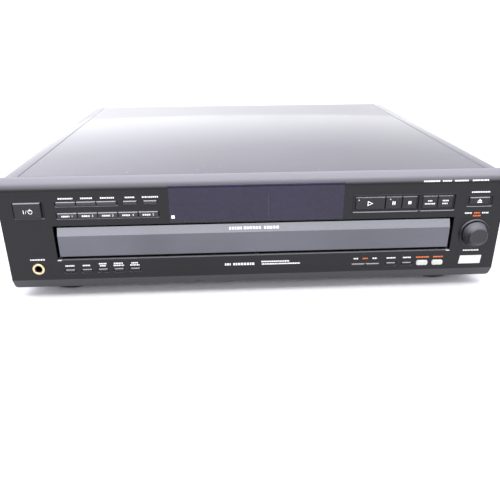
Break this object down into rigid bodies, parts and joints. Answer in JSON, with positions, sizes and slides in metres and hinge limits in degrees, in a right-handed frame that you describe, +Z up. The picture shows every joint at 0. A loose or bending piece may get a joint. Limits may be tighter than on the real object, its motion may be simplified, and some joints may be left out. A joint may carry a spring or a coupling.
{
  "type": "multi disc cd changer",
  "caption": "Wide, low hi-fi disc changer with a front drawer that carries a turning disc carousel, a tinted display window, rows of keys and a jog dial.",
  "frame": {"origin": "under the middle of the whole box, on the surface that the feet stand on", "axes": "+X to the right seen from the front, -Y towards the front face, +Z up"},
  "size_m": [0.43, 0.401, 0.11],
  "materials": {
    "panel_plastic": "fine satin grain, charcoal",
    "window_tint": "polished, tinted violet",
    "plated_steel": "zinc-plated sheet, dull",
    "cover_steel": "glossy dark paint on sheet steel",
    "black_screw": "blackened",
    "foot_plastic": "moulded, satin",
    "board": "board laminate",
    "display_glass": "dark display tube",
    "gilt": "gilt ring, polished",
    "core_steel": "varnished laminations",
    "socket_plastic": "moulded sockets",
    "tray_plastic": "moulded black tray",
    "drawer_gloss": "gunmetal gloss",
    "motor_steel": "drawn can",
    "gear_plastic": "natural acetal",
    "deck_plastic": "moulded, dull",
    "belt_rubber": "drive belt",
    "knob_plastic": "satin dark grey",
    "key_plastic": "satin keys",
    "key_pale": "pale grey keys"
  },
  "bodies": {
    "case": {"front_panel": "panel_plastic", "display_window": "window_tint", "bottom_chassis": "plated_steel", "rear_panel": "plated_steel", "top_cover": "cover_steel", "cover_screws": "black_screw", "feet": "foot_plastic", "main_board": "board", "control_board": "board", "display_module": "display_glass", "headphone_socket": "gilt", "power_transformer": "core_steel", "output_sockets": "socket_plastic", "cord_gland": "foot_plastic", "mechanism_deck": "deck_plastic", "clamp_bridge": "plated_steel", "loading_motor": "motor_steel", "loading_belt": "belt_rubber"},
    "drawer": {"drawer": "tray_plastic", "drawer_front": "drawer_gloss", "carousel_motor": "motor_steel"},
    "carousel": {"carousel": "tray_plastic"},
    "carousel_gear": {"carousel_gear": "gear_plastic"},
    "loading_gear": {"loading_gear": "gear_plastic"},
    "loading_pulley": {"loading_pulley": "gear_plastic"},
    "base_unit": {"base_unit": "deck_plastic"},
    "disc_turntable": {"disc_turntable": "gear_plastic"},
    "pickup": {"pickup": "deck_plastic"},
    "lift_cam": {"lift_cam": "gear_plastic"},
    "disc_clamp": {"disc_clamp": "gear_plastic"},
    "encoder_rotor": {"encoder_rotor": "motor_steel"},
    "jog_knob": {"jog_knob": "knob_plastic"},
    "power_key": {"power_key": "key_plastic"},
    "repeat_key": {"repeat_key": "key_plastic"},
    "time_key": {"time_key": "key_plastic"},
    "open_close_key": {"open_close_key": "key_plastic"},
    "index_key": {"index_key": "key_plastic"},
    "fade_key": {"fade_key": "key_plastic"},
    "edit_key": {"edit_key": "key_plastic"},
    "file_key": {"file_key": "key_plastic"},
    "peak_key": {"peak_key": "key_plastic"},
    "check_key": {"check_key": "key_plastic"},
    "clear_key": {"clear_key": "key_plastic"},
    "delay_key": {"delay_key": "key_pale"},
    "crossfade_key": {"crossfade_key": "key_pale"},
    "play_key": {"play_key": "key_plastic"},
    "pause_key": {"pause_key": "key_plastic"},
    "stop_key": {"stop_key": "key_plastic"},
    "exchange_key": {"exchange_key": "key_plastic"},
    "skip_key": {"skip_key": "key_plastic"},
    "search_back_key": {"search_back_key": "key_plastic"},
    "search_forward_key": {"search_forward_key": "key_plastic"},
    "continue_key": {"continue_key": "key_plastic"},
    "shuffle_key": {"shuffle_key": "key_plastic"},
    "program_key": {"program_key": "key_plastic"},
    "disc_1_key": {"disc_1_key": "key_plastic"},
    "disc_2_key": {"disc_2_key": "key_plastic"},
    "disc_3_key": {"disc_3_key": "key_plastic"},
    "disc_4_key": {"disc_4_key": "key_plastic"},
    "disc_5_key": {"disc_5_key": "key_plastic"}
  },
  "joints": [
    {"name": "drawer_slide", "type": "slide", "parent": "case", "child": "drawer", "axis": [0, -1, 0], "range_m": [0, 0.22]},
    {"name": "carousel_spin", "type": "hinge", "parent": "drawer", "child": "carousel", "pos_m": [0, -0.0105, 0.058], "axis": [0, 0, 1], "continuous": true},
    {"name": "base_unit_lift", "type": "slide", "parent": "case", "child": "base_unit", "axis": [0, 0, 1], "range_m": [0, 0.0138]},
    {"name": "pickup_slide", "type": "slide", "parent": "base_unit", "child": "pickup", "axis": [0, 1, 0], "range_m": [0, 0.035]},
    {"name": "turntable_spin", "type": "hinge", "parent": "base_unit", "child": "disc_turntable", "pos_m": [0, 0.0925, 0.045], "axis": [0, 0, 1], "continuous": true},
    {"name": "disc_clamp_spin", "type": "hinge", "parent": "case", "child": "disc_clamp", "pos_m": [0, 0.0925, 0.07], "axis": [0, 0, 1], "continuous": true},
    {"name": "encoder_spin", "type": "hinge", "parent": "case", "child": "encoder_rotor", "pos_m": [0.1929, -0.1905, 0.054], "axis": [0, -1, 0], "continuous": true},
    {"name": "jog_push", "type": "slide", "parent": "encoder_rotor", "child": "jog_knob", "axis": [0, 1, 0], "range_m": [0, 0.0005], "stiffness_N_per_m": 500, "springref_m": -0.002},
    {"name": "carousel_gear_spin", "type": "hinge", "parent": "drawer", "child": "carousel_gear", "pos_m": [-0.03288, -0.04338, 0.051], "axis": [0, 0, 1], "continuous": true},
    {"name": "loading_gear_spin", "type": "hinge", "parent": "case", "child": "loading_gear", "pos_m": [-0.1395, -0.1385, 0.032], "axis": [0, 0, 1], "range_deg": [0, 1205]},
    {"name": "loading_pulley_spin", "type": "hinge", "parent": "case", "child": "loading_pulley", "pos_m": [-0.1115, -0.1385, 0.026], "axis": [0, 0, 1], "range_deg": [-3615, 0]},
    {"name": "lift_cam_slide", "type": "slide", "parent": "case", "child": "lift_cam", "axis": [1, 0, 0], "range_m": [0, 0.0139]},
    {"name": "power_key_press", "type": "slide", "parent": "case", "child": "power_key", "axis": [0, 1, 0], "range_m": [0, 0.0005], "stiffness_N_per_m": 500, "springref_m": -0.002},
    {"name": "repeat_key_press", "type": "slide", "parent": "case", "child": "repeat_key", "axis": [0, 1, 0], "range_m": [0, 0.0005], "stiffness_N_per_m": 500, "springref_m": -0.002},
    {"name": "time_key_press", "type": "slide", "parent": "case", "child": "time_key", "axis": [0, 1, 0], "range_m": [0, 0.0005], "stiffness_N_per_m": 500, "springref_m": -0.002},
    {"name": "open_close_key_press", "type": "slide", "parent": "case", "child": "open_close_key", "axis": [0, 1, 0], "range_m": [0, 0.0005], "stiffness_N_per_m": 500, "springref_m": -0.002},
    {"name": "index_key_press", "type": "slide", "parent": "case", "child": "index_key", "axis": [0, 1, 0], "range_m": [0, 0.0005], "stiffness_N_per_m": 500, "springref_m": -0.002},
    {"name": "fade_key_press", "type": "slide", "parent": "case", "child": "fade_key", "axis": [0, 1, 0], "range_m": [0, 0.0005], "stiffness_N_per_m": 500, "springref_m": -0.002},
    {"name": "edit_key_press", "type": "slide", "parent": "case", "child": "edit_key", "axis": [0, 1, 0], "range_m": [0, 0.0005], "stiffness_N_per_m": 500, "springref_m": -0.002},
    {"name": "file_key_press", "type": "slide", "parent": "case", "child": "file_key", "axis": [0, 1, 0], "range_m": [0, 0.0005], "stiffness_N_per_m": 500, "springref_m": -0.002},
    {"name": "peak_key_press", "type": "slide", "parent": "case", "child": "peak_key", "axis": [0, 1, 0], "range_m": [0, 0.0005], "stiffness_N_per_m": 500, "springref_m": -0.002},
    {"name": "check_key_press", "type": "slide", "parent": "case", "child": "check_key", "axis": [0, 1, 0], "range_m": [0, 0.0005], "stiffness_N_per_m": 500, "springref_m": -0.002},
    {"name": "clear_key_press", "type": "slide", "parent": "case", "child": "clear_key", "axis": [0, 1, 0], "range_m": [0, 0.0005], "stiffness_N_per_m": 500, "springref_m": -0.002},
    {"name": "delay_key_press", "type": "slide", "parent": "case", "child": "delay_key", "axis": [0, 1, 0], "range_m": [0, 0.0005], "stiffness_N_per_m": 500, "springref_m": -0.002},
    {"name": "crossfade_key_press", "type": "slide", "parent": "case", "child": "crossfade_key", "axis": [0, 1, 0], "range_m": [0, 0.0005], "stiffness_N_per_m": 500, "springref_m": -0.002},
    {"name": "play_key_press", "type": "slide", "parent": "case", "child": "play_key", "axis": [0, 1, 0], "range_m": [0, 0.0005], "stiffness_N_per_m": 500, "springref_m": -0.002},
    {"name": "pause_key_press", "type": "slide", "parent": "case", "child": "pause_key", "axis": [0, 1, 0], "range_m": [0, 0.0005], "stiffness_N_per_m": 500, "springref_m": -0.002},
    {"name": "stop_key_press", "type": "slide", "parent": "case", "child": "stop_key", "axis": [0, 1, 0], "range_m": [0, 0.0005], "stiffness_N_per_m": 500, "springref_m": -0.002},
    {"name": "exchange_key_press", "type": "slide", "parent": "case", "child": "exchange_key", "axis": [0, 1, 0], "range_m": [0, 0.0005], "stiffness_N_per_m": 500, "springref_m": -0.002},
    {"name": "skip_key_press", "type": "slide", "parent": "case", "child": "skip_key", "axis": [0, 1, 0], "range_m": [0, 0.0005], "stiffness_N_per_m": 500, "springref_m": -0.002},
    {"name": "search_back_key_press", "type": "slide", "parent": "case", "child": "search_back_key", "axis": [0, 1, 0], "range_m": [0, 0.0005], "stiffness_N_per_m": 500, "springref_m": -0.002},
    {"name": "search_forward_key_press", "type": "slide", "parent": "case", "child": "search_forward_key", "axis": [0, 1, 0], "range_m": [0, 0.0005], "stiffness_N_per_m": 500, "springref_m": -0.002},
    {"name": "continue_key_press", "type": "slide", "parent": "case", "child": "continue_key", "axis": [0, 1, 0], "range_m": [0, 0.0005], "stiffness_N_per_m": 500, "springref_m": -0.002},
    {"name": "shuffle_key_press", "type": "slide", "parent": "case", "child": "shuffle_key", "axis": [0, 1, 0], "range_m": [0, 0.0005], "stiffness_N_per_m": 500, "springref_m": -0.002},
    {"name": "program_key_press", "type": "slide", "parent": "case", "child": "program_key", "axis": [0, 1, 0], "range_m": [0, 0.0005], "stiffness_N_per_m": 500, "springref_m": -0.002},
    {"name": "disc_1_key_press", "type": "slide", "parent": "case", "child": "disc_1_key", "axis": [0, 1, 0], "range_m": [0, 0.0005], "stiffness_N_per_m": 500, "springref_m": -0.002},
    {"name": "disc_2_key_press", "type": "slide", "parent": "case", "child": "disc_2_key", "axis": [0, 1, 0], "range_m": [0, 0.0005], "stiffness_N_per_m": 500, "springref_m": -0.002},
    {"name": "disc_3_key_press", "type": "slide", "parent": "case", "child": "disc_3_key", "axis": [0, 1, 0], "range_m": [0, 0.0005], "stiffness_N_per_m": 500, "springref_m": -0.002},
    {"name": "disc_4_key_press", "type": "slide", "parent": "case", "child": "disc_4_key", "axis": [0, 1, 0], "range_m": [0, 0.0005], "stiffness_N_per_m": 500, "springref_m": -0.002},
    {"name": "disc_5_key_press", "type": "slide", "parent": "case", "child": "disc_5_key", "axis": [0, 1, 0], "range_m": [0, 0.0005], "stiffness_N_per_m": 500, "springref_m": -0.002}
  ],
  "couplings": [
    {"joint": "carousel_gear_spin", "follows": "carousel_spin", "ratio": -3.4286},
    {"joint": "loading_gear_spin", "follows": "drawer_slide", "rad_per_m": 95.238},
    {"joint": "loading_pulley_spin", "follows": "drawer_slide", "rad_per_m": -285.71},
    {"joint": "lift_cam_slide", "follows": "base_unit_lift", "ratio": 1}
  ]
}
